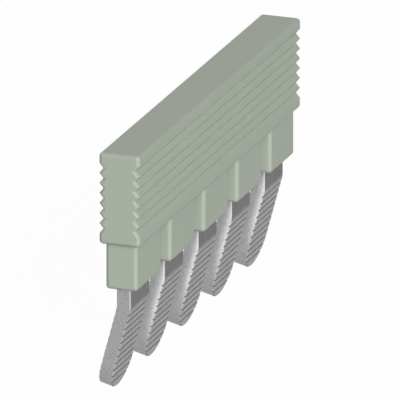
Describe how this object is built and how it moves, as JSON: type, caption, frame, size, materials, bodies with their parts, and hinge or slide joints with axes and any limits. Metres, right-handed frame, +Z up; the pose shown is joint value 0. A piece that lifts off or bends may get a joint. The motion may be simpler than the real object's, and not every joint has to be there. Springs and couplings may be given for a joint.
{
  "type": "terminal block jumper",
  "caption": "Insulated plug-in jumper for a row of terminals: grooved moulded grip bar with separate feet and a row of bent, serrated contact blades with round tips.",
  "frame": {"origin": "middle of the row on the seating plane, which is the undersides of the feet, midway through the straight stems of the blades", "axes": "+X along the row of poles, +Y the side that the blades lean to, +Z up to the grip bar's top"},
  "size_m": [0.03, 0.0033, 0.0161],
  "materials": {
    "moulded_polyamide": "moulded grey-green insulating plastic, fine satin surface",
    "tinned_copper": "stamped copper alloy strip, tin-plated, dull grey"
  },
  "bodies": {
    "root": {"insulating_housing": "moulded_polyamide", "contact_comb": "tinned_copper"}
  },
  "joints": []
}
